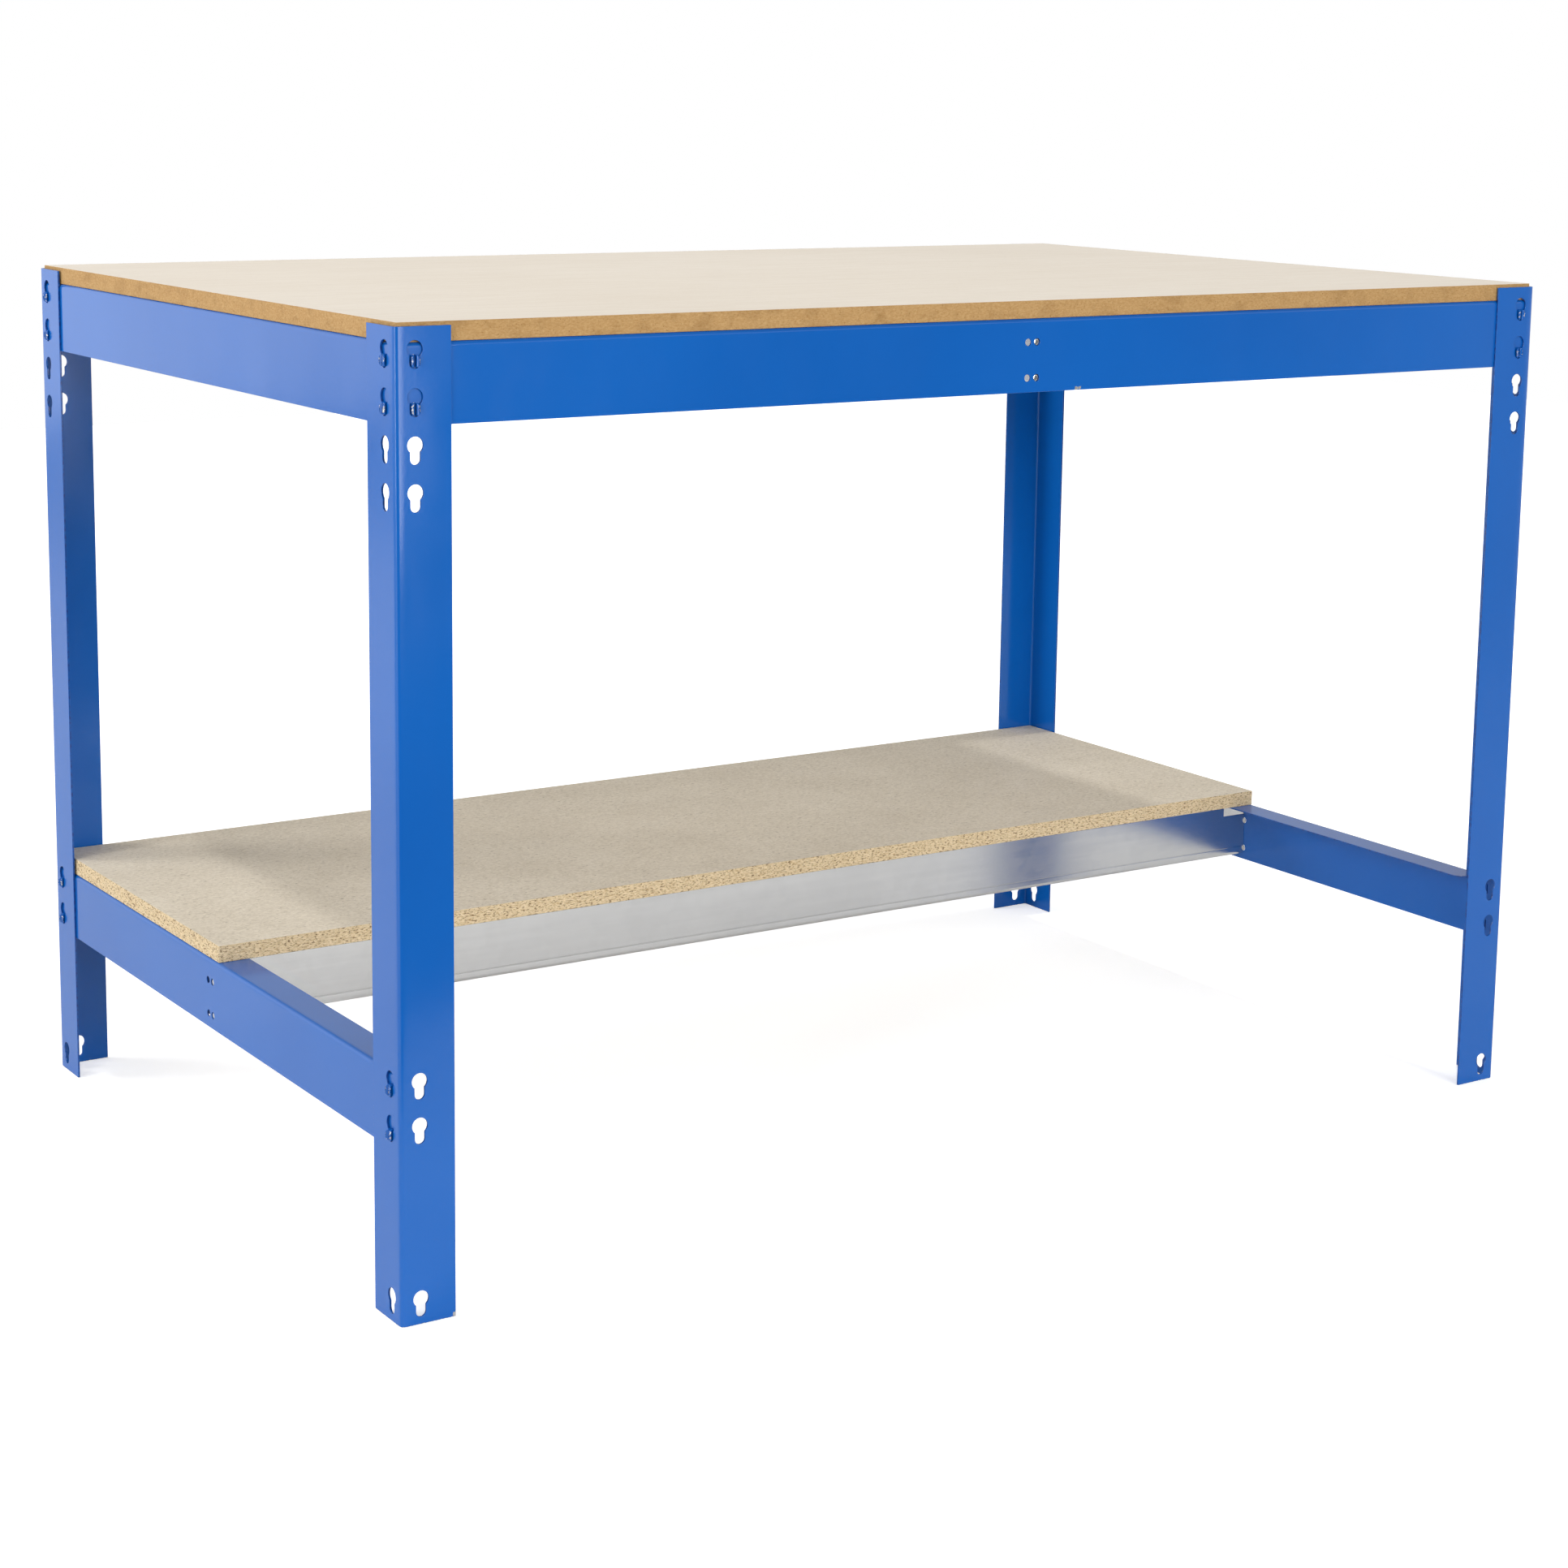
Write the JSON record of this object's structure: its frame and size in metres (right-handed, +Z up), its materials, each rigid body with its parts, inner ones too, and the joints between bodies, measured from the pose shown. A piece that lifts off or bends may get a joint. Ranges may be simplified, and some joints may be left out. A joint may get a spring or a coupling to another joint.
{
  "type": "workbench",
  "caption": "Boltless steel workbench: blue keyhole-angle uprights, hooked folded beams, fibreboard worktop and a half-depth chipboard shelf on a galvanised front beam.",
  "frame": {"origin": "on the floor, under the middle of the bench", "axes": "+X along the width to the right, +Y from the open front to the back with the shelf, +Z up"},
  "size_m": [1.2664, 0.8064, 0.8281],
  "materials": {
    "blue_paint": "gloss powder coat",
    "galvanised_steel": "galvanised, semi-gloss",
    "fibreboard": "smooth bare board",
    "chipboard": "bare flaky board"
  },
  "bodies": {
    "frame": {"upright_front_left": "blue_paint", "upright_front_right": "blue_paint", "upright_back_left": "blue_paint", "upright_back_right": "blue_paint", "top_beam_front": "blue_paint", "top_beam_back": "blue_paint", "top_beam_left": "blue_paint", "top_beam_right": "blue_paint", "lower_beam_left": "blue_paint", "lower_beam_right": "blue_paint", "lower_beam_back": "blue_paint", "shelf_front_beam": "galvanised_steel", "worktop_cross_tie": "galvanised_steel"},
    "worktop": {"worktop_board": "fibreboard"},
    "shelf": {"shelf_board": "chipboard"}
  },
  "joints": [
    {"name": "worktop_lift", "type": "slide", "parent": "frame", "child": "worktop", "axis": [0, 0, 1], "range_m": [0, 0.06]},
    {"name": "shelf_lift", "type": "slide", "parent": "frame", "child": "shelf", "axis": [0, 0, 1], "range_m": [0, 0.5]}
  ]
}
